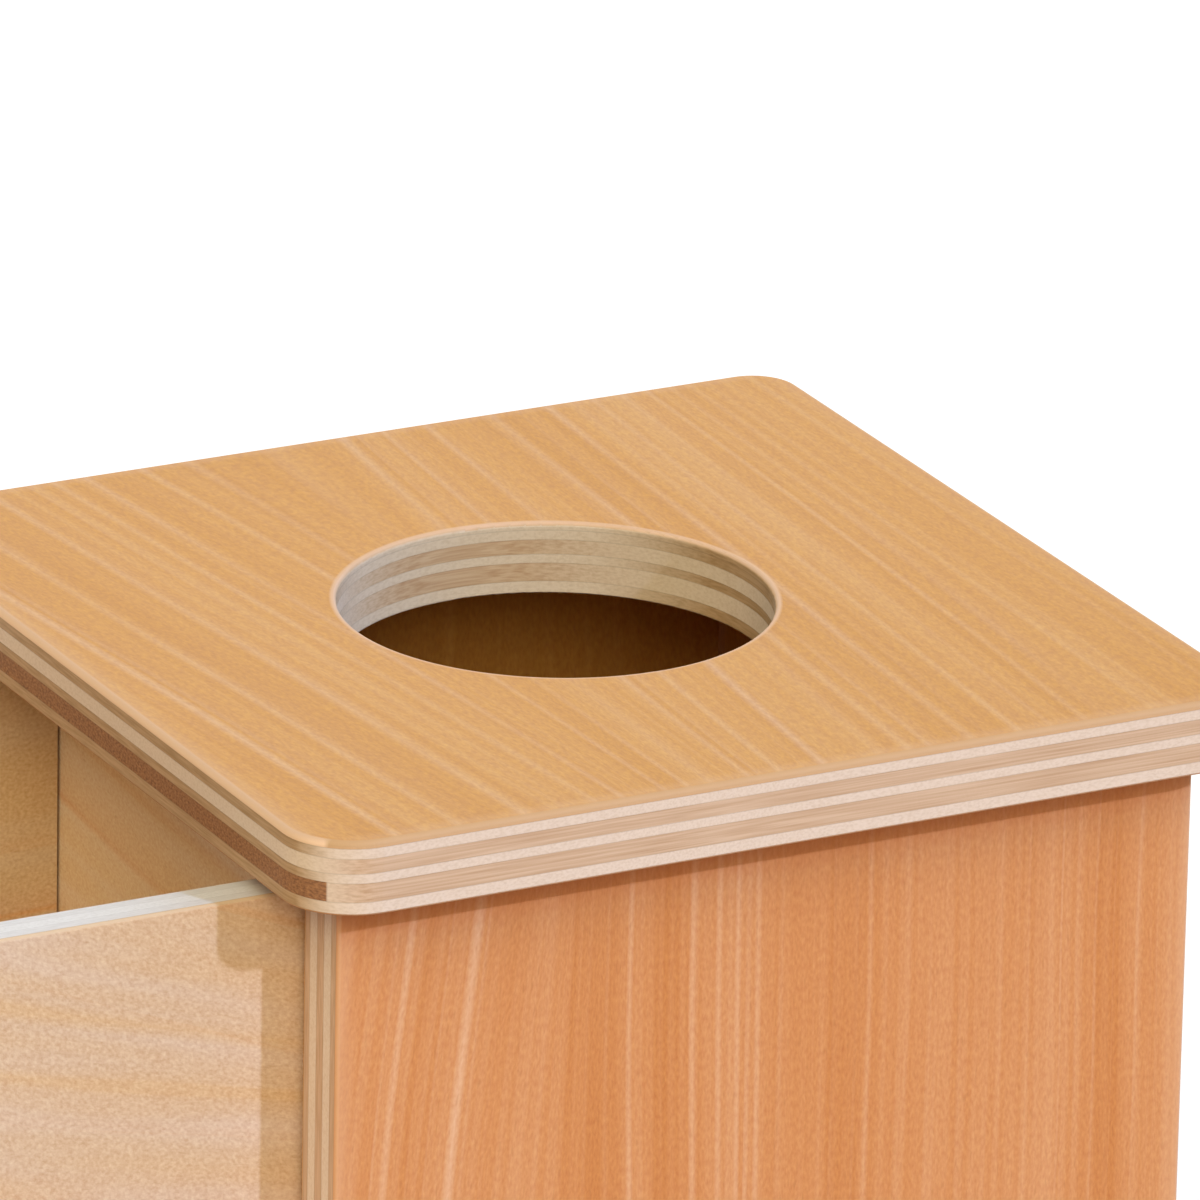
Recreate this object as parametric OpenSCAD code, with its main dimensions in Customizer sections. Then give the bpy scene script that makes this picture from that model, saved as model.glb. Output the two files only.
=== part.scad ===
// Object permanence box: a square plywood box with a round ball hole in its
// overhanging top plate, and a full-height drawer that slides out of its open left end.
// Millimetres, +Z up. The origin is the middle of the walls' footprint, on the table.
// The drawer pulls out along -X, and the front panel faces -Y.

/* [Top plate] */
// Width and depth of the square top plate
plate_w = 136; // [120:1:170]
// Thickness of the top plate
plate_t = 10; // [8:0.5:15]
// How far the top plate stands out past the walls
overhang = 6.5; // [3:0.5:10]
// Radius of the top plate's corners at the drawer's end, seen from above
corner_r = 9.5; // [5:0.5:20]
// Radius of the top plate's corners over the end panel, seen from above
end_corner_r = 6.5; // [3:0.5:20]
// Rounding of the top plate's upper edges
plate_ease = 1; // [0.5:0.1:2]
// Rounding of the top plate's lower edges and of the ball hole's lower rim
under_ease = 0.2; // [0.1:0.1:1]
// Diameter of the ball hole
hole_d = 57.5; // [40:0.5:75]
// Rounding of the ball hole's upper rim
hole_ease = 0.6; // [0.3:0.1:1.5]

/* [Walls and floor] */
// Height of the walls
wall_h = 120; // [90:1:160]
// Thickness of the walls
wall_t = 10; // [8:0.5:14]
// Thickness of the floor
floor_t = 10; // [8:0.5:14]
// Rounding of the bare edges of the walls and the floor
wall_ease = 0.6; // [0.3:0.1:1]

/* [Dowels] */
// Diameter of a dowel
dowel_d = 6; // [4:0.5:6.5]
// Length of a dowel
dowel_l = 20; // [14:1:26]
// Depth of a dowel in the face of the board that it enters squarely
dowel_seat = 6.5; // [4:0.5:7]
// Bevel at both ends of a dowel
dowel_bevel = 1; // [0.5:0.1:1.5]
// Distance of a dowel from the end of its joint
dowel_inset = 22; // [16:1:30]
// Glue gap around a dowel
dowel_gap = 0.1; // [0.05:0.05:0.2]
// Glue gap past each end of a dowel
dowel_end_gap = 0.5; // [0.2:0.1:1]

/* [Drawer] */
// How far the drawer is pulled out
drawer_pull = 95; // [0:1:105]
// Thickness of the drawer front
drawer_front_t = 10; // [8:0.5:13]
// Thickness of the drawer front that laps over the ends of the sides
front_lip = 4; // [3:0.5:5]
// Thickness of the drawer sides
drawer_side_t = 6; // [5:0.5:9]
// Thickness of the drawer back
drawer_back_t = 6; // [5:0.5:9]
// Depth of the drawer back in the sides
back_seat = 2; // [1:0.5:3]
// Gap that shows between the drawer back and its seats in the sides
back_gap = 0.4; // [0.2:0.1:1]
// Thickness of the drawer bottom
drawer_bottom_t = 4; // [3:0.5:6]
// Depth of the groove that holds the drawer bottom
groove_d = 3; // [2:0.5:4]
// Height of the drawer bottom above the lower edges of the drawer
bottom_lift = 6; // [3:0.5:10]
// Play of the drawer bottom in its groove
groove_gap = 0.2; // [0.1:0.05:0.4]
// Rounding of the drawer's edges
drawer_ease = 0.5; // [0.3:0.1:1]
// Running gap between a drawer side and the wall beside it
side_gap = 0.9; // [0.3:0.1:2]
// Running gap between the drawer and the floor
floor_gap = 0.3; // [0.1:0.1:1]
// Gap between the drawer sides and the top plate
side_top_gap = 2.5; // [1:0.5:6]
// Gap between the drawer front and the top plate
front_top_gap = 1; // [0.5:0.1:3]
// Gap between the closed drawer and the end panel
end_gap = 1; // [0.5:0.5:4]

/* [Brads] */
// Diameter of a brad
brad_d = 1.4; // [1:0.1:2]
// Length of a brad
brad_l = 16; // [12:1:22]
// Diameter of a brad's head
brad_head_d = 2.4; // [2:0.1:3]
// Thickness of a brad's head
brad_head_h = 0.8; // [0.5:0.1:1.2]
// Length of a brad's point
brad_tip = 2; // [1:0.5:3]
// Brads in each corner of the drawer
brad_count = 3; // [2:1:5]
// Distance of the end brads from the ends of a corner
brad_inset = 18; // [14:1:30]
// Gap around a brad
brad_gap = 0.05; // [0.02:0.01:0.1]

/* [Knob] */
// Diameter of the knob's head
knob_d = 26; // [20:0.5:34]
// Thickness of the knob's head
knob_head_h = 12; // [8:0.5:16]
// Radius of the knob's domed face
knob_dome_r = 30; // [24:1:60]
// Diameter of the knob's waist
knob_waist_d = 10; // [8.5:0.5:12]
// Height of the cove between the knob's foot and its head
knob_cove_h = 8; // [5:0.5:12]
// Diameter of the knob's foot
knob_foot_d = 15; // [13:0.5:19]
// Thickness of the knob's foot
knob_foot_h = 2; // [1:0.5:4]
// Diameter of the knob's screw
screw_d = 4; // [3:0.5:5]
// Depth of the screw in the knob
screw_bite = 13; // [8:0.5:15]
// Length of the screw's point
screw_tip = 3; // [2:0.5:4]
// Diameter of the screw's head
screw_head_d = 8; // [6.5:0.5:10]
// Height of the screw's head
screw_head_h = 2.8; // [2:0.1:4]
// Radius of the screw's domed head
screw_dome_r = 5; // [4.8:0.1:8]
// Width of the cross slots in the screw's head
cross_w = 1; // [0.6:0.1:1.4]
// Length of the cross slots in the screw's head
cross_l = 4.4; // [3:0.1:5]
// Depth of the cross slots in the screw's head
cross_d = 1.4; // [0.8:0.1:1.8]
// Gap around the screw
screw_gap = 0.1; // [0.05:0.05:0.3]

/* [Hidden] */
$fn = 96;
// How far a cutting shape runs past the face that it cuts
over = 1;
// Outer and inner faces of the walls, measured from the middle
wall_out = plate_w / 2 - overhang;
wall_in = wall_out - wall_t;
// Drawer, closed: outer face of its front, ends of its sides and inner face of its back
front_x = -wall_out;
front_in_x = front_x + drawer_front_t;
end_x = wall_in - end_gap;
back_x = end_x - drawer_back_t;
// Outer and inner faces of the drawer sides, measured from the middle
side_out = wall_in - side_gap;
side_in = side_out - drawer_side_t;
// Heights of the drawer
drawer_z = floor_t + floor_gap;
side_h = wall_h - side_top_gap - drawer_z;
front_h = wall_h - front_top_gap - drawer_z;
bottom_z = drawer_z + bottom_lift;
knob_z = drawer_z + front_h / 2;

plate_colour = "#DCA971";
wall_colour = "#DA9461";
drawer_colour = "#DDBA97";
turned_colour = "#DDB583";
steel_colour = "#B9BBBD";

// Rectangle from the origin. Its corners, counted from the origin anticlockwise,
// are rounded where soft has a 1.
module eased_rect(w, h, r, soft) {
  translate([r, 0]) square([w - 2 * r, h]);
  translate([0, r]) square([w, h - 2 * r]);
  for (i = [0:3])
    translate([i == 1 || i == 2 ? w - r : r, i > 1 ? h - r : r])
      if (soft[i] == 1) circle(r);
      else square(2 * r, center = true);
}

// Board from the origin. Its edges along Z, X and Y are rounded where the lists have
// a 1, in the order of eased_rect in the plane that each edge crosses.
module board(size, r, along_z = [0, 0, 0, 0], along_x = [0, 0, 0, 0], along_y = [0, 0, 0, 0]) {
  intersection() {
    linear_extrude(size.z) eased_rect(size.x, size.y, r, along_z);
    rotate([90, 0, 90]) linear_extrude(size.x) eased_rect(size.y, size.z, r, along_x);
    translate([0, size.y, 0])
      rotate([90, 0, 0]) linear_extrude(size.y) eased_rect(size.x, size.z, r, along_y);
  }
}

// Plate blank: a slab between the corners, a strip along the front and the back and four
// turned corners, which share one rounded edge. All reach as far in as the widest corner.
module plate_blank() {
  reach = max(corner_r, end_corner_r);
  translate([-plate_w / 2, plate_w / 2 - reach, 0])
    rotate([90, 0, 0]) linear_extrude(plate_w - 2 * reach) plate_section(plate_w, 1);
  for (y = [0, 1]) mirror([0, y, 0]) {
    translate([corner_r - plate_w / 2, plate_w / 2 - reach, 0])
      rotate([90, 0, 90]) linear_extrude(plate_w - corner_r - end_corner_r) plate_section(reach, 0);
    plate_corner(end_corner_r, reach);
    mirror([1, 0, 0]) plate_corner(corner_r, reach);
  }
}

// Turned corner of the plate at +X and +Y, with a strip along its right edge if it is tight
module plate_corner(r, reach) {
  translate([plate_w / 2 - r, plate_w / 2 - r, 0]) {
    rotate_extrude(angle = 90) plate_section(r, 0);
    if (r < reach) rotate([90, 0, 0]) linear_extrude(reach - r) plate_section(r, 0);
  }
}

// Section through the plate, w wide. Its right edges are rounded, and its left ones where left is 1.
module plate_section(w, left) {
  intersection() {
    eased_rect(w, plate_t, under_ease, [left, 1, 0, 0]);
    eased_rect(w, plate_t, plate_ease, [0, 0, 1, left]);
  }
}

// Cutter for the ball hole, with both rims rounded over
module ball_hole() {
  translate([0, 0, -over]) cylinder(d = hole_d, h = plate_t + 2 * over);
  hole_rim(under_ease);
  translate([0, 0, plate_t]) mirror([0, 0, 1]) hole_rim(hole_ease);
}

// Cutter that rounds the lower rim of the ball hole
module hole_rim(r) {
  rotate_extrude() difference() {
    translate([hole_d / 2 - over, -over]) square(over + r);
    translate([hole_d / 2 + r, r]) circle(r);
  }
}

// A dowel along Z, with the face that it crosses at the origin
module dowel() {
  r = dowel_d / 2;
  translate([0, 0, -dowel_seat]) rotate_extrude() polygon([
    [0, 0], [r - dowel_bevel, 0], [r, dowel_bevel],
    [r, dowel_l - dowel_bevel], [r - dowel_bevel, dowel_l], [0, dowel_l]
  ]);
}

// The hole for one dowel, through both boards
module dowel_hole() {
  translate([0, 0, -dowel_seat - dowel_end_gap])
    cylinder(d = dowel_d + 2 * dowel_gap, h = dowel_l + 2 * dowel_end_gap);
}

// Places of the dowels that hold the plate on the three walls
module at_top_dowels() {
  for (x = [-1, 1], y = [-1, 1])
    translate([x * (wall_out - dowel_inset), y * (wall_out - wall_t / 2), wall_h])
      rotate([180, 0, 0]) children();
  for (y = [-1, 1])
    translate([wall_out - wall_t / 2, y * (wall_in - dowel_inset), wall_h])
      rotate([180, 0, 0]) children();
}

// Places of the dowels between the end panel and its neighbours
module at_end_dowels() {
  for (y = [-1, 1], z = [dowel_inset, wall_h - dowel_inset])
    translate([wall_out - wall_t / 2, y * wall_in, z]) rotate([90 * y, 0, 0]) children();
}

// Places of the dowels between the floor and the three walls
module at_floor_dowels() {
  for (y = [-1, 1], x = [dowel_inset - wall_out, wall_in - dowel_inset])
    translate([x, y * wall_in, floor_t / 2]) rotate([90 * y, 0, 0]) children();
  for (y = [-1, 1])
    translate([wall_in, y * (wall_in - dowel_inset), floor_t / 2]) rotate([0, -90, 0]) children();
}

module top_plate() {
  color(plate_colour) difference() {
    translate([0, 0, wall_h]) plate_blank();
    translate([0, 0, wall_h]) ball_hole();
    at_top_dowels() dowel_hole();
  }
}

module front_panel() {
  color(wall_colour) difference() {
    translate([-wall_out, -wall_out, 0]) board(
      [2 * wall_out, wall_t, wall_h], wall_ease,
      along_z = [1, 1, 0, 1], along_x = [1, 0, 0, 0], along_y = [1, 1, 0, 0]
    );
    at_top_dowels() dowel_hole();
    at_end_dowels() dowel_hole();
    at_floor_dowels() dowel_hole();
  }
}

module back_panel() {
  mirror([0, 1, 0]) front_panel();
}

module end_panel() {
  color(wall_colour) difference() {
    translate([wall_in, -wall_in, 0])
      board([wall_t, 2 * wall_in, wall_h], wall_ease, along_y = [0, 1, 0, 0]);
    at_top_dowels() dowel_hole();
    at_end_dowels() dowel_hole();
    at_floor_dowels() dowel_hole();
  }
}

module floor_panel() {
  color(wall_colour) difference() {
    translate([-wall_out, -wall_in, 0])
      board([wall_out + wall_in, 2 * wall_in, floor_t], wall_ease, along_y = [1, 0, 0, 1]);
    at_floor_dowels() dowel_hole();
  }
}

module top_dowels() {
  color(turned_colour) at_top_dowels() dowel();
}

module end_dowels() {
  color(turned_colour) at_end_dowels() dowel();
}

module floor_dowels() {
  color(turned_colour) at_floor_dowels() dowel();
}

// Moves a piece of the closed drawer to where the drawer is pulled
module pulled_out() {
  translate([-drawer_pull, 0, 0]) children();
}

// A brad along Z, with the outer face of its head at the origin
module brad() {
  r = brad_d / 2;
  rotate_extrude() polygon([
    [0, 0], [brad_head_d / 2, 0], [brad_head_d / 2, brad_head_h],
    [r, brad_head_h], [r, brad_l - brad_tip], [0, brad_l]
  ]);
}

// The hole that a brad makes
module brad_hole() {
  translate([0, 0, -over]) cylinder(d = brad_head_d + 2 * brad_gap, h = brad_head_h + brad_gap + over);
  cylinder(d = brad_d + 2 * brad_gap, h = brad_l + brad_gap);
}

// Places of the brads: through the sides into the front and into the back
module at_brads() {
  pitch = (side_h - 2 * brad_inset) / (brad_count - 1);
  for (y = [-1, 1], x = [(front_x + front_lip + front_in_x) / 2, (back_x + end_x) / 2])
    for (i = [0:brad_count - 1])
      translate([x, y * side_out, drawer_z + brad_inset + i * pitch]) rotate([90 * y, 0, 0]) children();
}

// The drawer bottom, short of its groove by play at the edges and thicker by play above
module bottom_board(play, above) {
  x0 = front_in_x - groove_d + play;
  x1 = back_x + groove_d - play;
  y1 = side_in + groove_d - play;
  translate([x0, -y1, bottom_z]) cube([x1 - x0, 2 * y1, drawer_bottom_t + above]);
}

module bottom_groove() {
  bottom_board(0, groove_gap);
}

// Moves a piece turned about Z to the knob's place, with Z pointing out of the drawer front
module at_knob() {
  translate([front_x, 0, knob_z]) rotate([0, -90, 0]) children();
}

module drawer_front() {
  color(wall_colour) pulled_out() difference() {
    translate([front_x, -side_out, drawer_z]) board(
      [drawer_front_t, 2 * side_out, front_h], drawer_ease,
      along_z = [1, 0, 0, 1], along_y = [1, 0, 1, 1]
    );
    for (y = [0, 1])
      mirror([0, y, 0]) translate([front_x + front_lip, side_in, drawer_z - over])
        cube([drawer_front_t, drawer_side_t + over, front_h + 2 * over]);
    bottom_groove();
    at_brads() brad_hole();
    at_knob() translate([0, 0, -drawer_front_t - over])
      cylinder(d = screw_d + 2 * screw_gap, h = drawer_front_t + 2 * over);
  }
}

module drawer_near_side() {
  color(drawer_colour) pulled_out() difference() {
    translate([front_x + front_lip, -side_out, drawer_z]) board(
      [end_x - front_x - front_lip, drawer_side_t, side_h], drawer_ease, along_x = [1, 1, 1, 1]
    );
    translate([back_x - back_gap, -side_in - back_seat, drawer_z - over])
      cube([drawer_back_t + back_gap + over, back_seat + over, side_h + 2 * over]);
    bottom_groove();
    at_brads() brad_hole();
  }
}

module drawer_far_side() {
  mirror([0, 1, 0]) drawer_near_side();
}

module drawer_back() {
  y1 = side_in + back_seat;
  color(drawer_colour) pulled_out() difference() {
    translate([back_x, -y1, drawer_z])
      board([drawer_back_t, 2 * y1, side_h], drawer_ease, along_y = [1, 1, 1, 1]);
    bottom_groove();
    at_brads() brad_hole();
  }
}

module drawer_bottom() {
  color(drawer_colour) pulled_out() bottom_board(groove_gap, 0);
}

module drawer_brads() {
  color(steel_colour) pulled_out() at_brads() brad();
}

// Turned section of the knob, from its axis outwards and from the drawer front up
module knob_section() {
  square([knob_foot_d / 2, knob_foot_h]);
  translate([0, knob_foot_h]) difference() {
    square([knob_foot_d / 2, knob_cove_h]);
    translate([(knob_waist_d + knob_cove_h) / 2, knob_cove_h / 2]) circle(d = knob_cove_h);
  }
  translate([0, knob_foot_h + knob_cove_h]) intersection() {
    union() {
      square([(knob_d - knob_head_h) / 2, knob_head_h]);
      translate([(knob_d - knob_head_h) / 2, knob_head_h / 2]) circle(d = knob_head_h);
    }
    translate([0, knob_head_h - knob_dome_r]) circle(knob_dome_r);
  }
}

module drawer_knob() {
  color(turned_colour) pulled_out() at_knob() difference() {
    rotate_extrude() knob_section();
    translate([0, 0, -over]) cylinder(d = screw_d + 2 * screw_gap, h = screw_bite + screw_gap + over);
  }
}

module knob_screw() {
  color(steel_colour) pulled_out() at_knob() translate([0, 0, -drawer_front_t]) {
    shank = drawer_front_t + screw_bite - screw_tip;
    cylinder(d = screw_d, h = shank);
    translate([0, 0, shank]) cylinder(d1 = screw_d, d2 = 0, h = screw_tip);
    mirror([0, 0, 1]) difference() {
      rotate_extrude() intersection() {
        square([screw_head_d / 2, screw_head_h]);
        translate([0, screw_head_h - screw_dome_r]) circle(screw_dome_r);
      }
      for (turn = [0, 90])
        rotate(turn) translate([-cross_l / 2, -cross_w / 2, screw_head_h - cross_d])
          cube([cross_l, cross_w, cross_d + over]);
    }
  }
}

top_plate();
front_panel();
back_panel();
end_panel();
floor_panel();
top_dowels();
end_dowels();
floor_dowels();
drawer_front();
drawer_near_side();
drawer_far_side();
drawer_back();
drawer_bottom();
drawer_brads();
drawer_knob();
knob_screw();
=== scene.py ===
"""Object permanence box of beech-faced plywood: a square case under a plate with a round ball hole,
and a drawer that pulls out of the open left end. The sections follow the order of assembly."""

from types import SimpleNamespace

import bpy
import numpy as np
from mathutils import Matrix, Vector


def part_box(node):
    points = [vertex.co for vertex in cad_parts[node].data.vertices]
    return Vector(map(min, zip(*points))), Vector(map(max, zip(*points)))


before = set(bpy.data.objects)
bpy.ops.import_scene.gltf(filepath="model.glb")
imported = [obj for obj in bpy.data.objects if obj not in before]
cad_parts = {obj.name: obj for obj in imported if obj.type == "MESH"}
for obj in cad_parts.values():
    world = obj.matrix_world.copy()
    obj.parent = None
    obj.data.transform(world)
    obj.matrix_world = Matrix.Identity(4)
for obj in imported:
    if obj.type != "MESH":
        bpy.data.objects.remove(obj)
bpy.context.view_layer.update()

# Walls: the front, back and end panels. Five-ply board faced with reddish rotary-cut beech, the grain
# upright, sawn square and sanded, its edges left bare under clear oil. Dowelled and glued together.
MM = 0.001
X, Y, Z = 0, 1, 2


def linear(sheet_colour):
    """sRGB hex as linear RGBA: ((c + 0.055) / 1.055) to the power 2.4, and c / 12.92 in the darkest part."""
    srgb = np.array([int(sheet_colour[i:i + 2], 16) for i in (1, 3, 5)]) / 255
    rgb = np.where(srgb <= 0.04045, srgb / 12.92, ((srgb + 0.055) / 1.055) ** 2.4)
    return (*rgb.tolist(), 1.0)


def add(tree, kind, feeds=None, stops=None, fade="LINEAR", **settings):
    """Adds a node to a tree and returns its first output in use. settings are the node's properties, feeds
    its sockets' values or the sockets linked to them, stops a ramp's places with greys or colours."""
    made = tree.nodes.new(kind)
    for name, value in settings.items():
        setattr(made, name, value)
    if stops:
        made.color_ramp.interpolation = fade
        while len(made.color_ramp.elements) < len(stops):
            made.color_ramp.elements.new(1.0)
        for element, (place, shade) in zip(made.color_ramp.elements, stops):
            element.position = place
            element.color = linear(shade) if isinstance(shade, str) else (shade, shade, shade, 1.0)
    for name, value in (feeds or {}).items():
        named = [s for s in made.inputs if s.name == name and s.enabled]
        socket = made.inputs[name] if isinstance(name, int) else named[0]
        if isinstance(value, bpy.types.NodeSocket):
            tree.links.new(value, socket)
        else:
            socket.default_value = value
    return next((s for s in made.outputs if s.enabled), None)


def blank(name):
    """A new material whose node tree is still empty."""
    material = bpy.data.materials.new(name)
    material.use_nodes = True
    material.node_tree.nodes.clear()
    return material


def finished(material, finish):
    """Ends a material's tree in one shader, which takes the finish on its own sockets."""
    shader = add(material.node_tree, "ShaderNodeBsdfPrincipled", finish)
    add(material.node_tree, "ShaderNodeOutputMaterial", {"Surface": shader})
    return material


def dress(piece, material):
    """Puts a better material in a piece's own slot. Its mesh stays as it was built."""
    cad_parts[piece].material_slots[0].material = material


def grain_noise(tree, place, size, detail, shift):
    """Noise drawn out to a size: the place is divided by the size on each axis and then shifted."""
    stretch = {"Vector": place, "Location": shift, "Scale": [1 / length for length in size]}
    noise = {"Vector": add(tree, "ShaderNodeMapping", stretch), "Scale": 1, "Detail": detail}
    return add(tree, "ShaderNodeTexNoise", noise)


# Layers of the wood's figure: mm across the grain, along it and through the sheet, then the noise's detail.
# Real fibres are finer than a tenth of a millimetre, so they are drawn coarse enough to show.
PLY_FIGURE = {"odd": (0.5, 18, 0.3, 2), "even": (18, 0.5, 0.3, 2)}
BEECH_FIGURE = {"band": (11, 260, 60, 1), "stripe": (1.5, 150, 60, 4), "gap": (26, 900, 60, 0),
                "group": (14, 900, 60, 0), "break": (6, 55, 60, 1), "fibre": (0.38, 0.95, 0.8, 3),
                "fleck": (0.4, 2.0, 2, 1)}
# The grain bends over this length.
BEND_MM = 110
# A layer comes in between two values of its noise, and the face's three tones lie at three values of theirs.
BREAK_FROM, BREAK_TO = 0.35, 0.65
GROUP_FROM, GROUP_TO = 0.42, 0.54
FLECK_FROM, FLECK_TO, FLECK_MOST = 0.62, 0.85, 0.35
DARK_AT, BODY_AT, LIGHT_AT = 0.36, 0.5, 0.64


def lay_board(name, node, thick, grain, seed, lean, face):
    """Starts a board's material, worked out in mm through the solid. thick and grain are the axes through the
    sheet and along its face grain. The grain leans and wanders: the place across is shifted by a slope, which
    lean gives at shares of the width, times the way along, and by a slow noise."""
    material = blank(name)
    tree = material.node_tree
    wide = 3 - thick - grain
    low, high = (np.array(corner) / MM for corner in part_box(node))
    spot = add(tree, "ShaderNodeTexCoord").node.outputs
    in_mm = add(tree, "ShaderNodeVectorMath", {0: spot["Object"], "Scale": 1 / MM}, operation="SCALE")
    at = add(tree, "ShaderNodeSeparateXYZ", {0: in_mm}).node.outputs
    outward = add(tree, "ShaderNodeVectorMath", {0: spot["Normal"]}, operation="ABSOLUTE")
    facing = add(tree, "ShaderNodeSeparateXYZ", {0: outward}).node.outputs
    spans = [{"Value": at[way], "From Min": low[way], "From Max": high[way]} for way in (thick, wide)]
    depth, share = (add(tree, "ShaderNodeMapRange", span) for span in spans)
    slope = add(tree, "ShaderNodeValToRGB", {0: share}, [(p, 0.5 + s) for p, s in lean], "EASE")
    slope = add(tree, "ShaderNodeMath", {0: slope, 1: 0.5}, operation="SUBTRACT")
    middle = (low[grain] + high[grain]) / 2
    along = add(tree, "ShaderNodeMath", {0: at[grain], 1: middle}, operation="SUBTRACT")
    across = add(tree, "ShaderNodeMath", {0: slope, 1: along, 2: at[wide]}, operation="MULTIPLY_ADD")
    slow = grain_noise(tree, in_mm, (BEND_MM, BEND_MM, BEND_MM), 1, (seed, 0, 0))
    wander = {"Value": slow, "To Min": -face["wander"], "To Max": face["wander"]}
    wander = add(tree, "ShaderNodeMapRange", wander)
    across = add(tree, "ShaderNodeMath", {0: across, 1: wander}, operation="ADD")
    run = add(tree, "ShaderNodeCombineXYZ", {"X": across, "Y": along, "Z": at[thick]})
    figure = {layer: grain_noise(tree, run, size, detail, (seed, seed / 3, 0))
              for layer, (*size, detail) in {**PLY_FIGURE, **face["figure"]}.items()}
    return SimpleNamespace(material=material, tree=tree, thick=thick, grain=grain, wide=wide, low=low,
                           high=high, at=at, facing=facing, depth=depth, across=across, slow=slow,
                           figure=figure)


def placed_marks(board, marks):
    """Bold lines and bands at given places, summed: each is a triangle across the grain, told by its share of
    the width, its half width in mm and its strength, which is below 0 for a dark band."""
    low, high = board.low[board.wide], board.high[board.wide]
    total = 0.0
    for place, half, strength in marks:
        middle = low + place * (high - low)
        aside = add(board.tree, "ShaderNodeMath", {0: board.across, 1: middle}, operation="SUBTRACT")
        aside = add(board.tree, "ShaderNodeMath", {0: aside}, operation="ABSOLUTE")
        mark = {"Value": aside, "From Max": half, "To Min": strength, "To Max": 0}
        mark = add(board.tree, "ShaderNodeMapRange", mark)
        total = add(board.tree, "ShaderNodeMath", {0: mark, 1: total}, operation="ADD")
    return total


def growth_lines(board, lines):
    """Lines where each year's growth starts, pale on beech and darker on birch. The way across, over the gap
    and made uneven by a noise, counts the rings: its fraction gives the line and its fading tail, its whole
    number a draw of strength. lines are the gap and the width in mm, the strength, the share in calm
    stretches and the tail's share."""
    gap, thread, strength, calm, tail = lines
    tree, figure = board.tree, board.figure
    rings_of_drift, faintest_draw, thinnest = 4.5, 0.15, 0.3
    line_end, tail_end, next_line = thread / gap, 0.4 + tail / 2, 0.96
    uneven = add(tree, "ShaderNodeMath", {0: figure["gap"], 1: rings_of_drift}, operation="MULTIPLY")
    count = add(tree, "ShaderNodeMath", {0: board.across, 1: 1 / gap, 2: uneven}, operation="MULTIPLY_ADD")
    within = add(tree, "ShaderNodeMath", {0: count}, operation="FRACT")
    ring = add(tree, "ShaderNodeMath", {0: count}, operation="FLOOR")
    fall = [(0, 0.5), (line_end / 2, 1), (line_end, tail), (tail_end, 0), (next_line, 0), (1, 0.5)]
    ridge = add(tree, "ShaderNodeValToRGB", {0: within}, fall)
    chance = add(tree, "ShaderNodeTexWhiteNoise", {"W": ring}, noise_dimensions="1D")
    chance = add(tree, "ShaderNodeMapRange", {"Value": chance, "From Min": faintest_draw, "To Max": strength})
    broken = {"Value": figure["break"], "From Min": BREAK_FROM, "From Max": BREAK_TO, "To Min": thinnest}
    broken = add(tree, "ShaderNodeMapRange", broken)
    group = {"Value": figure["group"], "From Min": GROUP_FROM, "From Max": GROUP_TO, "To Min": calm}
    group = add(tree, "ShaderNodeMapRange", group)
    for weight in (chance, broken, group):
        ridge = add(tree, "ShaderNodeMath", {0: ridge, 1: weight}, operation="MULTIPLY")
    return ridge


def face_veneer(board, face, inside, hidden, marks):
    """Colour of the face: bands of tone, then the growth lines, fibres and brown flecks over each other, and
    margins tinted by wear at the sides and, at the walls' upper end, by painted shade. hidden is 1 in the
    half whose veneer has the inside colours and no lines."""
    tree, figure = board.tree, board.figure
    marks_in_tone, marks_most, thinnest = 0.25, 0.9, 0.5
    bold = placed_marks(board, marks)
    tone = add(tree, "ShaderNodeMix", {"Factor": 0.5, "A": figure["band"], "B": figure["stripe"]})
    tone = add(tree, "ShaderNodeMath", {0: bold, 1: marks_in_tone, 2: tone}, operation="MULTIPLY_ADD")
    halves = [[(DARK_AT, half["dark"]), (BODY_AT, half["body"]), (LIGHT_AT, half["light"])]
              for half in (face, inside)]
    outer, inner = (add(tree, "ShaderNodeValToRGB", {0: tone}, tones) for tones in halves)
    patchy = {"Value": figure["break"], "From Min": BREAK_FROM, "From Max": BREAK_TO, "To Min": thinnest}
    patchy = add(tree, "ShaderNodeMapRange", patchy)
    bold = add(tree, "ShaderNodeMapRange", {"Value": bold, "To Max": marks_most})
    bold = add(tree, "ShaderNodeMath", {0: bold, 1: patchy}, operation="MULTIPLY")
    streak = growth_lines(board, face["lines"])
    streak = add(tree, "ShaderNodeMath", {0: streak, 1: bold}, operation="MAXIMUM")
    streak = add(tree, "ShaderNodeMath", {0: streak, 1: hidden}, operation="SUBTRACT", use_clamp=True)
    dash = {"Value": figure["fleck"], "From Min": FLECK_FROM, "From Max": FLECK_TO, "To Max": FLECK_MOST}
    dash = add(tree, "ShaderNodeMapRange", dash)
    layers = [(hidden, inner, "MIX"), (streak, linear(face["streak"]), "MIX"),
              (face["hair"], figure["fibre"], "SOFT_LIGHT"), (dash, linear(face["fleck"]), "MIX")]
    ends = {"wide_low": (board.wide, board.low, 1), "wide_high": (board.wide, board.high, -1),
            "grain_low": (board.grain, board.low, 1), "grain_high": (board.grain, board.high, -1)}
    # Margins: wear, and painted shade where a face lists a shade tint, as the walls do at their top.
    for end, (tint, most, reach) in face["margins"].items():
        way, corner, inward = ends[end]
        near = {"Value": board.at[way], "From Min": corner[way] + inward * reach, "From Max": corner[way],
                "To Max": most}
        layers.append((add(tree, "ShaderNodeMapRange", near), linear(tint), "MIX"))
    veneer = outer
    for factor, colour, blend in layers:
        layer = {"Factor": factor, "A": veneer, "B": colour}
        veneer = add(tree, "ShaderNodeMix", layer, data_type="RGBA", blend_type=blend)
    return veneer


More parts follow.
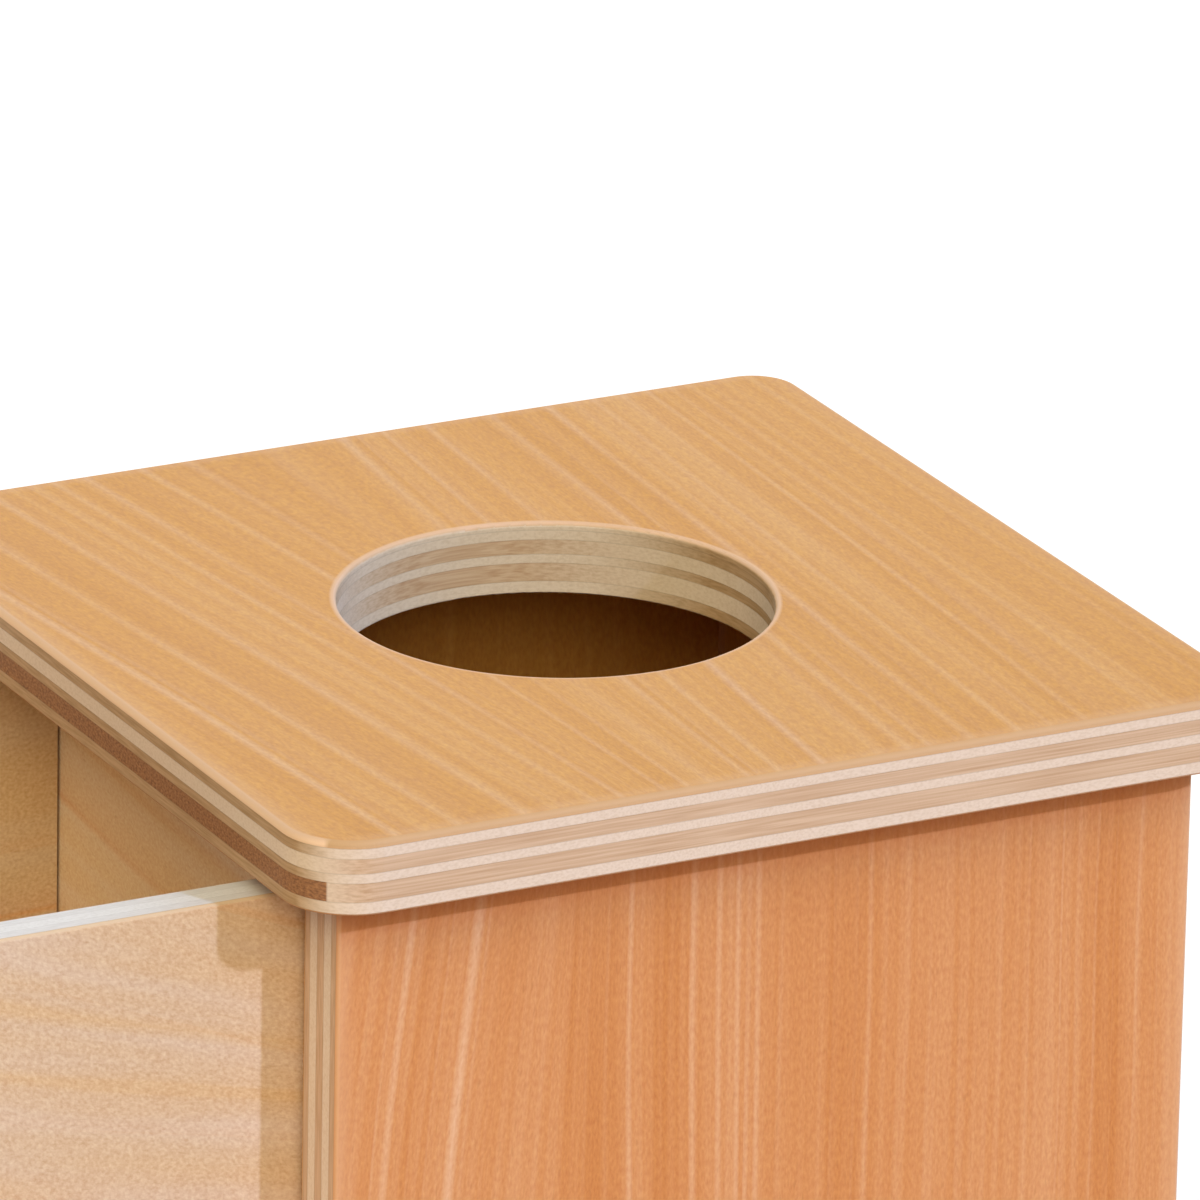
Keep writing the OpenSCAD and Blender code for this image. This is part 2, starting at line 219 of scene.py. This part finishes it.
def arris_wear_and_highlight(board, face, hidden, veneer):
    """The veneer's own edge, told by how far the surface has turned from the face. It drinks oil where its
    fibres end and darkens from soaked to edge, and along the fibres it is worn pale from rub to a paler tone
    that grows as the arris turns; where that tone is paler than rub, as on the plate, it is a painted
    highlight."""
    tree, turn = board.tree, board.facing[board.thick]
    flat_turn, eased_turn, rub_turn, half_turn, edge_turn, even = 0.995, 0.9, 0.85, 0.35, 0.1, 0.05
    eased = add(tree, "ShaderNodeValToRGB", {0: turn}, [(0, 1), (eased_turn, 1), (flat_turn, 0)])
    eased = add(tree, "ShaderNodeMath", {0: eased, 1: face["rubbed"]}, operation="MULTIPLY")
    eased = add(tree, "ShaderNodeMath", {0: eased, 1: hidden}, operation="SUBTRACT", use_clamp=True)
    ends = {0: board.facing[board.grain], 1: board.facing[board.wide]}
    ends = add(tree, "ShaderNodeMath", ends, operation="SUBTRACT")
    on_end = add(tree, "ShaderNodeMapRange", {"Value": ends, "From Min": -even, "From Max": even})
    oiled = [(edge_turn, face["edge"]), (half_turn, face["soaked"])]
    # Pale tones along the fibres: wear, and where the turned tone is the paler, a painted highlight.
    pale_tones_and_highlight = [(half_turn, face["bare"]), (rub_turn, face["rub"])]
    soaked, wear_and_highlight = (add(tree, "ShaderNodeValToRGB", {0: turn}, tones) for tones in (oiled, pale_tones_and_highlight))
    edging = add(tree, "ShaderNodeMix", {"Factor": on_end, "A": wear_and_highlight, "B": soaked}, data_type="RGBA")
    return add(tree, "ShaderNodeMix", {"Factor": eased, "A": veneer, "B": edging}, data_type="RGBA")


def cut_plies(board, cuts, plies, strip):
    """The plies, turned crosswise at every glue line: where a cut meets their fibres end on it is pale, and
    where it runs along them it is tan. strip is a darker strip let into a core, as (low cut, high cut, the
    edge in mm that it starts from, two colours). Also returns the depth that the glue lines follow."""
    tree, figure, facing = board.tree, board.figure, board.facing
    wave, end_from, end_to, dark_at, strip_fade_mm = 0.008, 0.3, 0.8, 0.3, 0.2
    wavy = add(tree, "ShaderNodeMapRange", {"Value": board.slow, "To Min": -wave, "To Max": wave})
    level = add(tree, "ShaderNodeMath", {0: board.depth, 1: wavy}, operation="ADD")
    turns = [(cut, (number + 1) % 2) for number, cut in enumerate(cuts)]
    crossed = add(tree, "ShaderNodeValToRGB", {0: level}, [(0, 0), *turns], "CONSTANT")
    wood = add(tree, "ShaderNodeMix", {"Factor": crossed, "A": figure["odd"], "B": figure["even"]})
    ends = {"Factor": crossed, "A": facing[board.grain], "B": facing[board.wide]}
    ends = add(tree, "ShaderNodeMix", ends)
    on_end = add(tree, "ShaderNodeMapRange", {"Value": ends, "From Min": end_from, "From Max": end_to})
    tones = [[(dark_at, plies[cut + "_dark"]), (full, plies[cut])]
             for cut, full in (("long", 0.65), ("cross", 0.65), ("end", 0.6))]
    long, cross, end = (add(tree, "ShaderNodeValToRGB", {0: wood}, pair) for pair in tones)
    tan = add(tree, "ShaderNodeMix", {"Factor": crossed, "A": long, "B": cross}, data_type="RGBA")
    timber = add(tree, "ShaderNodeMix", {"Factor": on_end, "A": tan, "B": end}, data_type="RGBA")
    if strip:
        first, last, edge, dark, dim = strip
        core = add(tree, "ShaderNodeValToRGB", {0: level}, [(0, 0), (first, 1), (last, 0)], "CONSTANT")
        beyond = {"Value": board.at[board.wide], "From Min": edge, "From Max": edge + strip_fade_mm,
                  "To Min": 1, "To Max": 0}
        beyond = add(tree, "ShaderNodeMapRange", beyond)
        core = add(tree, "ShaderNodeMath", {0: core, 1: beyond}, operation="MULTIPLY")
        heart = add(tree, "ShaderNodeValToRGB", {0: wood}, [(dark_at, dark), (0.7, dim)])
        timber = add(tree, "ShaderNodeMix", {"Factor": core, "A": timber, "B": heart}, data_type="RGBA")
    return timber, level


def veneered(board, timber, veneer, rub, under, over, bore):
    """Lays the veneer on the plies, down to shares of the thickness below and above. A hole bored on the
    box's own axis, as (radius in mm, shade colour), has a pale ring round its rim on the face, which is wear
    and a painted highlight, no veneer on its wall, and a painted shade multiplied into its wall, strongest
    where the wall faces along the grain."""
    tree = board.tree
    faced = add(tree, "ShaderNodeValToRGB", {0: board.depth}, [(0, 1), (under, 0), (1 - over, 1)], "CONSTANT")
    if not bore:
        return add(tree, "ShaderNodeMix", {"Factor": faced, "A": timber, "B": veneer}, data_type="RGBA")
    radius, bore_painted_shade = bore
    rim_mm, lip_mm, shade_fade_mm, shade_least = 2, 0.1, 0.3, 0.1
    # Pale ring on the face round the rim: wear and a painted highlight of the eased rim.
    rim_wear_and_highlight = [(0, 0.7), (0.3, 0.75), (0.5, 0)]
    flat = add(tree, "ShaderNodeCombineXYZ", {"X": board.at[board.wide], "Y": board.at[board.grain]})
    away = add(tree, "ShaderNodeVectorMath", {0: flat}, operation="LENGTH").node.outputs["Value"]
    rim = add(tree, "ShaderNodeMapRange", {"Value": away, "From Min": radius, "From Max": radius + rim_mm})
    wear_and_highlight = add(tree, "ShaderNodeValToRGB", {0: rim}, rim_wear_and_highlight)
    veneer = add(tree, "ShaderNodeMix", {"Factor": wear_and_highlight, "A": veneer, "B": linear(rub)}, data_type="RGBA")
    clear = add(tree, "ShaderNodeMapRange", {"Value": away, "From Min": radius, "From Max": radius + lip_mm})
    faced = add(tree, "ShaderNodeMath", {0: faced, 1: clear}, operation="MULTIPLY")
    timber = add(tree, "ShaderNodeMix", {"Factor": faced, "A": timber, "B": veneer}, data_type="RGBA")
    # Painted shade on the bored wall, strongest where it faces along the grain.
    wall = {"Value": away, "From Min": radius, "From Max": radius + shade_fade_mm, "To Min": 1, "To Max": 0}
    wall = add(tree, "ShaderNodeMapRange", wall)
    shade_by_facing = add(tree, "ShaderNodeMapRange", {"Value": board.facing[board.grain], "To Min": shade_least})
    shaded_wall = {"Factor": add(tree, "ShaderNodeMath", {0: wall, 1: shade_by_facing}, operation="MULTIPLY"),
             "A": timber, "B": linear(bore_painted_shade)}
    return add(tree, "ShaderNodeMix", shaded_wall, data_type="RGBA", blend_type="MULTIPLY")


def plywood(name, node, thick, grain, cuts, face, plies, seed, lean=((0, 0), (1, 0)), marks=(),
            skin=(0.66, 0.66), inside=None, strip=None, bore=None):
    """Board of cross-laid plies, so that faces, edges and bored holes all show the wood that is there. cuts
    are the glue lines as shares of the thickness, skin the veneer's depth in mm below and above, and inside
    the colours of the face that is turned to the box's middle, if they differ."""
    board = lay_board(name, node, thick, grain, seed, lean, face)
    tree, fibre = board.tree, board.figure["fibre"]
    hidden = 0.0
    if inside:
        turned_in = [(0, 0), (0.5, 1)] if board.low[thick] + board.high[thick] < 0 else [(0, 1), (0.5, 0)]
        hidden = add(tree, "ShaderNodeValToRGB", {0: board.depth}, turned_in, "CONSTANT")
    veneer = face_veneer(board, face, inside or face, hidden, marks)
    veneer = arris_wear_and_highlight(board, face, hidden, veneer)
    timber, level = cut_plies(board, cuts, plies, strip)
    under, over = (mm / (board.high[thick] - board.low[thick]) for mm in skin)
    timber = veneered(board, timber, veneer, face["rub"], under, over, bore)

    # Thin dark glue lines. They and the fibres stand in low relief under the oil and break up its sheen.
    seam_half, seam_shade, relief_mm = 0.012, 0.82, 0.08
    seams = [(place, shade) for cut in (under, *cuts, 1 - over)
             for place, shade in ((cut - seam_half, 1), (cut, seam_shade), (cut + seam_half, 1))]
    glue = add(tree, "ShaderNodeValToRGB", {0: level}, seams)
    glued = {"Factor": 1, "A": timber, "B": glue}
    relief = add(tree, "ShaderNodeMath", {0: fibre, 1: glue}, operation="ADD")
    raised = {"Height": relief, "Strength": 0.3, "Distance": relief_mm * MM}
    satin = {"Value": fibre, "To Min": 0.5, "To Max": 0.66}
    finish = {"Base Color": add(tree, "ShaderNodeMix", glued, data_type="RGBA", blend_type="MULTIPLY"),
              "Roughness": add(tree, "ShaderNodeMapRange", satin),
              "Normal": add(tree, "ShaderNodeBump", raised), "IOR": 1.5}
    return finished(board.material, finish)


# Oiled rotary-cut beech: the eye sees a satin orange face in soft upright bands, broken pale lines, fine
# brown flecks, worn side margins, and at the high end along the grain, which on the walls is the top under
# the plate's overhang, a darker and redder band that is painted shade. A margin is a tint, its most and its
# reach in mm, hair the fibres' share, rubbed the arris's share, and wander the grain's stray in mm.
WALL_FACE = {"dark": "#CD8348", "body": "#D58F59", "light": "#DB9B6B", "streak": "#E7B591",
             "fleck": "#B4703F", "soaked": "#C58D63", "edge": "#C58D63", "rub": "#E6B490", "bare": "#E6B490",
             "rubbed": 0.5, "figure": BEECH_FIGURE, "hair": 0.5, "lines": (3.4, 0.6, 0.45, 0.2, 0.15),
             "wander": 6,
             "margins": {"wide_low": ("#E6B490", 0.45, 3), "wide_high": ("#E6B490", 0.45, 3),
                         # The high end along the grain: a darker, redder band that is painted shade of the
                         # plate's overhang.
                         "grain_high": ("#D87530", 0.65, 7)}}
# Darker, yellower tones for the faces turned into the box: painted shade of its dark inside.
WALL_INSIDE = {"dark": "#C0863A", "body": "#C58B3E", "light": "#CA9144"}
WALL_PLIES = {"long_dark": "#C4A087", "long": "#D9B9A5", "cross_dark": "#C4A087", "cross": "#D9B9A5",
              "end_dark": "#E1CBC0", "end": "#EAD8D0"}
WALL_CUTS = (0.2, 0.4, 0.6, 0.8)
FRONT_LEAN = ((0, -0.09), (0.2, -0.09), (0.34, 0), (0.7, 0.02), (1, 0))
FRONT_MARKS = ((0.043, 0.7, 1.0), (0.122, 1.0, 1.0), (0.345, 0.6, 0.6), (0.385, 3.2, -0.4),
               (0.418, 0.7, 0.5), (0.448, 0.5, 0.55), (0.47, 0.5, 0.6), (0.493, 0.5, 0.5), (0.623, 0.6, 0.35),
               (0.914, 3.5, -0.4))
BACK_LEAN = ((0, 0), (1, 0.06))
BACK_MARKS = ((0.12, 1.1, 0.9), (0.3, 0.8, 0.7), (0.36, 2.6, -0.5), (0.62, 1.2, 0.9), (0.8, 0.7, 0.6))
END_LEAN = ((0, 0.05), (1, -0.03))
END_MARKS = ((0.2, 0.8, 0.8), (0.26, 2.8, -0.5), (0.47, 1.1, 0.9), (0.73, 0.7, 0.7))
walls = {"front_panel": (Y, 11, FRONT_LEAN, FRONT_MARKS), "back_panel": (Y, 47, BACK_LEAN, BACK_MARKS),
         "end_panel": (X, 83, END_LEAN, END_MARKS)}
for panel, (through, seed, lean, marks) in walls.items():
    wall = plywood(f"oiled_beech_plywood_{panel}", panel, through, Z, WALL_CUTS, WALL_FACE, WALL_PLIES, seed,
                   lean, marks, inside=WALL_INSIDE)
    dress(panel, wall)

# Case floor: the same five-ply board, laid with its grain along the drawer's run. Let in between the walls
# and held by dowels, it carries the drawer.
floor_board = plywood("oiled_beech_plywood_floor", "floor_panel", Z, X, WALL_CUTS, WALL_FACE, WALL_PLIES, 29)
dress("floor_panel", floor_board)

# Dowels: straight-grained beech pins, turned to 6 mm, glued blind into the walls, the floor and the plate.
# Nothing of them shows on the closed box.
BEECH = {"dark": "#C6955F", "body": "#D0A16C", "light": "#D9AF7D", "fleck": "#A06C42"}
YEAR_MM = 1.9
DOWEL_HEART = (17, 9, 21)


def turned_beech(name, grain, heart, seed):
    """Solid beech turned on a lathe: the eye sees year rings as curved bands, fibres along the grain and
    short brown ray flecks under a soft sheen. The ring is the distance in mm from a heart line along the
    grain axis. Fibres are drawn coarser than real ones, so that they show."""
    material = blank(name)
    tree = material.node_tree
    spot = add(tree, "ShaderNodeTexCoord").node.outputs
    flat = [0 if way == grain else 1 / MM for way in (X, Y, Z)]
    section = add(tree, "ShaderNodeMapping", {"Vector": spot["Object"], "Location": heart, "Scale": flat})
    radius = add(tree, "ShaderNodeVectorMath", {0: section}, operation="LENGTH").node.outputs["Value"]
    layers = {"drift": (7, 40, 1), "fibre": (0.35, 9, 3), "fleck": (0.5, 3, 1)}
    figure = {}
    for layer, (fine, run, detail) in layers.items():
        size = [MM * (run if way == grain else fine) for way in (X, Y, Z)]
        figure[layer] = grain_noise(tree, spot["Object"], size, detail, (seed, seed, seed))
    drift_mm, relief_mm = 2.4, 0.08
    ring = add(tree, "ShaderNodeMath", {0: figure["drift"], 1: drift_mm, 2: radius}, operation="MULTIPLY_ADD")
    year = add(tree, "ShaderNodeMath", {0: ring, 1: YEAR_MM}, operation="FLOORED_MODULO")
    year = add(tree, "ShaderNodeMapRange", {"Value": year, "From Max": YEAR_MM})
    tones = [(0, BEECH["body"]), (0.55, BEECH["light"]), (0.88, BEECH["dark"]), (1, BEECH["body"])]
    timber = add(tree, "ShaderNodeValToRGB", {0: year}, tones)
    hair = {"Factor": 0.45, "A": timber, "B": figure["fibre"]}
    timber = add(tree, "ShaderNodeMix", hair, data_type="RGBA", blend_type="SOFT_LIGHT")
    dash = {"Value": figure["fleck"], "From Min": 0.6, "From Max": 0.8, "To Max": 0.6}
    brown = {"Factor": add(tree, "ShaderNodeMapRange", dash), "A": timber, "B": linear(BEECH["fleck"])}
    raised = {"Height": figure["fibre"], "Strength": 0.25, "Distance": relief_mm * MM}
    sheen = {"Value": figure["fibre"], "To Min": 0.38, "To Max": 0.55}
    finish = {"Base Color": add(tree, "ShaderNodeMix", brown, data_type="RGBA"), "IOR": 1.5,
              "Roughness": add(tree, "ShaderNodeMapRange", sheen),
              "Normal": add(tree, "ShaderNodeBump", raised)}
    return finished(material, finish)


for pins, grain in {"top_dowels": Z, "end_dowels": Y, "floor_dowels": Y}.items():
    dress(pins, turned_beech(f"turned_beech_{pins}", grain, DOWEL_HEART, 5))

# Top plate: 10 mm five-ply with a yellower beech veneer than the walls and a plain one below, its corners
# turned and its edges eased by hand. The ball hole is bored through and its rim broken. It sits on dowels.
PLATE_CUTS = (0.175, 0.43, 0.555, 0.76)
PLATE_PLIES = {"long_dark": "#AA8864", "long": "#C2A080", "cross_dark": "#C29D80", "cross": "#D9BAA2",
               "end_dark": "#DDC7B8", "end": "#E8D4C8"}
# The same oiled veneer in honey tones: the eye sees long pale lines that lean in from both sides of the hole,
# arrises worn pale along the grain and paler still as they turn down, which is a painted highlight, and one
# dark strip let into the core at the drawer's end.
PLATE_FACE = {"dark": "#C08638", "body": "#C58D45", "light": "#C99555", "streak": "#D2AF9A",
              # The paler arris tone #F0CCB0 is a painted highlight on the turned-down arris, laid over its
              # wear.
              "fleck": "#B07B46", "soaked": "#BF9870", "edge": "#CFA57F", "rub": "#D6B296", "bare": "#F0CCB0",
              "rubbed": 0.95, "figure": BEECH_FIGURE, "hair": 0.5, "lines": (6.0, 1.2, 0.35, 0.6, 0.4),
              "wander": 1.5,
              "margins": {end: ("#D6B296", 0.3, 3)
                          for end in ("wide_low", "wide_high", "grain_low", "grain_high")}}
PLATE_UNDERSIDE = {"dark": "#B57B4E", "body": "#BE8455", "light": "#C68E5F"}
PLATE_SKIN = (0.2, 1.05)
PLATE_LEAN = ((0, 0.085), (0.28, 0.095), (0.53, -0.09), (0.66, -0.06), (0.8, -0.06), (0.9, -0.02), (1, 0))
PLATE_MARKS = ((0.04, 1.1, 0.45), (0.055, 1.3, -0.5), (0.103, 1.1, 0.33), (0.118, 1.3, -0.5),
               (0.168, 1.1, 0.4), (0.183, 1.3, -0.5), (0.241, 0.9, 0.22), (0.275, 1.0, 0.33),
               (0.337, 0.9, 0.28), (0.374, 0.9, 0.28), (0.471, 1.1, 0.36), (0.518, 0.9, 0.25),
               (0.572, 1.1, 0.46), (0.652, 1.1, 0.35), (0.715, 1.1, 0.42), (0.766, 0.9, 0.26),
               (0.8, 0.8, 0.2), (0.836, 0.8, 0.22), (0.892, 0.8, 0.16), (0.965, 0.8, 0.14))
DARK_STRIP = (0.175, 0.43, -65.2, "#784C30", "#AB784F")
# Bore radius in mm, and the colour multiplied into its wall as painted shade.
BALL_HOLE = (28.75, "#E6E6D6")
plate = plywood("oiled_beech_plywood_plate", "top_plate", Z, Y, PLATE_CUTS, PLATE_FACE, PLATE_PLIES, 3,
                PLATE_LEAN, PLATE_MARKS, PLATE_SKIN, PLATE_UNDERSIDE, DARK_STRIP, BALL_HOLE)
dress("top_plate", plate)

# Drawer sides, back and bottom: thin birch board, unfinished. Rabbeted, grooved for the bottom, glued and
# bradded. The back and the bottom, and a little the far side, take paler birch tones than the near side:
# painted light on the drawer's shaded inner faces.
BIRCH_CUTS = (0.34, 0.66)
BIRCH_FIGURE = {"band": (30, 160, 60, 1), "stripe": (5, 60, 60, 1), "gap": (40, 300, 60, 0),
                "group": (40, 300, 60, 0), "break": (9, 40, 60, 1), "fibre": (0.42, 0.55, 0.42, 2),
                "fleck": (0.4, 1.2, 2, 1)}
# Bare sanded birch: the eye sees a pale, fine-speckled face with a few darker flames, and nearly white edges.
BIRCH_FACE = {"dark": "#DAB691", "body": "#DABBA0", "light": "#DEC5B5", "streak": "#DBA470",
              "fleck": "#B98D62", "soaked": "#CDB296", "edge": "#D3B595", "rub": "#CDB296", "bare": "#CDB296",
              "rubbed": 0.9, "figure": BIRCH_FIGURE, "hair": 0.75, "lines": (11.5, 1.4, 1.2, 0.9, 0.45),
              "wander": 6, "margins": {}}
# Paler copies of the birch: painted light for the drawer's shaded far side, back and bottom.
FAR_BIRCH_PAINTED_PALER = {**BIRCH_FACE, "dark": "#DABC94", "body": "#DBC2A3", "light": "#DECBB6"}
BIRCH_PAINTED_PALER = {**BIRCH_FACE, "dark": "#E6C8A2", "body": "#E7CDB0", "light": "#EBD7C5"}
BIRCH_PLIES = {"long_dark": "#CDCACC", "long": "#D7D4D7", "cross_dark": "#CDCACC", "cross": "#D7D4D7",
               "end_dark": "#D2D0D2", "end": "#DCDADD"}
BIRCH_SKIN = (0.4, 0.4)
NEAR_LEAN = ((0, 0.1), (0.7, 0.22), (0.83, 0.27), (0.93, 0.31))
NEAR_FLAMES = ((0.812, 1.2, -0.45), (0.892, 1.8, -0.65))
boards = {"drawer_near_side": (Y, X, BIRCH_FACE, 61, NEAR_LEAN, NEAR_FLAMES),
          "drawer_far_side": (Y, X, FAR_BIRCH_PAINTED_PALER, 67, ((0, 0.1), (1, 0.1)), ()),
          "drawer_back": (X, Y, BIRCH_PAINTED_PALER, 71, ((0, -0.08), (1, -0.08)), ()),
          "drawer_bottom": (Z, X, BIRCH_PAINTED_PALER, 79, ((0, 0.05), (1, 0.05)), ())}
for part, (through, grain, face, seed, lean, marks) in boards.items():
    birch = plywood(f"bare_birch_board_{part}", part, through, grain, BIRCH_CUTS, face, BIRCH_PLIES, seed,
                    lean, marks, BIRCH_SKIN)
    dress(part, birch)

# Drawer front: a wall-thick beech plywood panel that closes the open end. Lipped over the drawer's sides,
# its grain upright like the walls'.
DRAWER_FRONT_MARKS = ((0.16, 0.8, 0.8), (0.33, 2.4, -0.5), (0.41, 1.1, 0.9), (0.77, 0.9, 0.8))
drawer_front = plywood("oiled_beech_plywood_drawer_front", "drawer_front", X, Z, WALL_CUTS, WALL_FACE,
                       WALL_PLIES, 97, marks=DRAWER_FRONT_MARKS)
dress("drawer_front", drawer_front)

# Brads and knob screw: drawn steel wire, and a cross-slotted steel screw driven from inside the drawer. The
# eye sees bright steel in small glints, dulled by fine marks of drawing and of the driver, which are drawn
# coarser than real ones, so that they show.
STEEL_TONES = [(0.35, "#8E9194"), (0.6, "#B9BBBD")]
STEEL_MARK_MM = 0.3
STEEL_RELIEF_MM = 0.03
steel = blank("drawn_bright_steel")
spot = add(steel.node_tree, "ShaderNodeTexCoord").node.outputs
scuffs = {"Vector": spot["Object"], "Scale": 1 / (STEEL_MARK_MM * MM), "Detail": 3}
scuffs = add(steel.node_tree, "ShaderNodeTexNoise", scuffs)
dulled = {"Value": scuffs, "To Min": 0.25, "To Max": 0.5}
scored = {"Height": scuffs, "Strength": 0.2, "Distance": STEEL_RELIEF_MM * MM}
finish = {"Base Color": add(steel.node_tree, "ShaderNodeValToRGB", {0: scuffs}, STEEL_TONES), "Metallic": 1.0,
          "Roughness": add(steel.node_tree, "ShaderNodeMapRange", dulled),
          "Normal": add(steel.node_tree, "ShaderNodeBump", scored)}
finished(steel, finish)
for metal in ("drawer_brads", "knob_screw"):
    dress(metal, steel)

# Knob: a domed beech knob with a coved neck, turned with the grain along its axis and oiled, held from
# inside the drawer by the screw.
KNOB_HEART = (0, 14, -48)
dress("drawer_knob", turned_beech("turned_beech_knob", X, KNOB_HEART, 13))

# Table: a wide sheet of matt white card under the box, a flat grid of squares. It takes the box's shadow and
# looks white to the camera, while the light that it throws back on the box is warm and dim.
TABLE_HALF_M = 12.0
TABLE_DROP_MM = 0.2
SQUARES = 8
edge = np.linspace(-TABLE_HALF_M, TABLE_HALF_M, SQUARES + 1)
u, v = np.meshgrid(edge, edge, indexing="ij")
spots = np.stack([u, v, np.full_like(u, -TABLE_DROP_MM * MM)], -1).reshape(-1, 3)
row = SQUARES + 1
corner = (np.arange(SQUARES)[:, None] * row + np.arange(SQUARES)).ravel()
quads = np.stack([corner, corner + row, corner + row + 1, corner + 1], -1)
table_mesh = bpy.data.meshes.new("table")
table_mesh.from_pydata(spots.tolist(), [], quads.tolist())
table = bpy.data.objects.new("table", table_mesh)
bpy.context.scene.collection.objects.link(table)


def looked_at(tree):
    """1 for a ray from the camera, a reflection or glass, and 0 for light on its way between surfaces."""
    path = add(tree, "ShaderNodeLightPath").node.outputs
    rays = {0: path["Is Camera Ray"], 1: path["Is Glossy Ray"]}
    seen = add(tree, "ShaderNodeMath", rays, operation="MAXIMUM")
    return add(tree, "ShaderNodeMath", {0: seen, 1: path["Is Transmission Ray"]}, operation="MAXIMUM")


WHITE = (1, 1, 1, 1)
card = blank("matt_white_card")
warm = add(card.node_tree, "ShaderNodeBsdfDiffuse", {"Color": linear("#A08F7B")})
plain = add(card.node_tree, "ShaderNodeBsdfDiffuse", {"Color": linear("#BCBCBC")})
glow = add(card.node_tree, "ShaderNodeEmission", {"Color": WHITE, "Strength": 0.6})
lit = add(card.node_tree, "ShaderNodeAddShader", {0: plain, 1: glow})
shader = add(card.node_tree, "ShaderNodeMixShader", {0: looked_at(card.node_tree), 1: warm, 2: lit})
add(card.node_tree, "ShaderNodeOutputMaterial", {"Surface": shader})
table_mesh.materials.append(card)

# Studio: a crisp cool key from the front right, warm soft lamps over the front, low before it and at the
# left, a cool one at the right and a white one behind, in a dim warm surround that looks white to the camera.
# Each lamp: where its light comes from, strength, width in degrees, colour.
LAMPS = {"key": ((0.384, -0.7496, 0.5397), 1.13, 2, (0.88, 1.07, 1.5)),
         "front_soft": ((-0.27, -0.66, 0.70), 0.85, 45, (1.04, 0.92, 0.72)),
         "low_soft": ((-0.29, -0.84, 0.46), 0.38, 25, (1.12, 0.95, 0.6)),
         "left_soft": ((-0.61, -0.38, 0.695), 1.03, 40, (1.05, 0.93, 0.48)),
         "right_soft": ((0.82, -0.12, 0.56), 0.85, 50, (0.75, 1.0, 1.4)),
         "back_soft": ((0.05, 0.975, 0.2), 0.9, 60, (1.0, 1.0, 1.0))}
for lamp, (source, strength, width, colour) in LAMPS.items():
    light = bpy.data.lights.new(lamp, "SUN")
    light.energy = strength
    light.angle = np.radians(width)
    light.color = colour
    stand = bpy.data.objects.new(lamp, light)
    stand.rotation_mode = "QUATERNION"
    stand.rotation_quaternion = (-Vector(source)).to_track_quat("-Z", "Y")
    bpy.context.scene.collection.objects.link(stand)
SURROUND = {"Color": (1.03, 0.95, 0.78, 1), "Strength": 0.23}
room = bpy.data.worlds.new("soft_surround")
room.use_nodes = True
room.node_tree.nodes.clear()
fill = add(room.node_tree, "ShaderNodeBackground", SURROUND)
backdrop = add(room.node_tree, "ShaderNodeBackground", {"Color": WHITE, "Strength": 1})
shader = add(room.node_tree, "ShaderNodeMixShader", {0: looked_at(room.node_tree), 1: fill, 2: backdrop})
add(room.node_tree, "ShaderNodeOutputWorld", {"Surface": shader})
bpy.context.scene.world = room

# Camera: a long lens from the front left, a little above the plate, aimed near the middle of the plate. Its
# place and its three axes were solved from the plate's edges and the hole.
CAMERA_AT = (-0.79779, -1.55031, 0.78108)
RIGHT, UP, AHEAD = (0.89065, -0.45432, 0.01840), (0.14365, 0.31955, 0.93662), (0.43141, 0.83155, -0.34987)
SENSOR_MM, LENS_MM = 36.0, 426.93
lens = bpy.data.cameras.new("camera")
lens.sensor_width = SENSOR_MM
lens.lens = LENS_MM
lens.clip_start = 0.05
lens.clip_end = 60.0
camera = bpy.data.objects.new("camera", lens)
turn = Matrix((RIGHT, UP, -Vector(AHEAD))).transposed().to_4x4()
camera.matrix_world = Matrix.Translation(CAMERA_AT) @ turn
bpy.context.scene.collection.objects.link(camera)
bpy.context.scene.camera = camera
bpy.context.scene.view_settings.view_transform = "Standard"
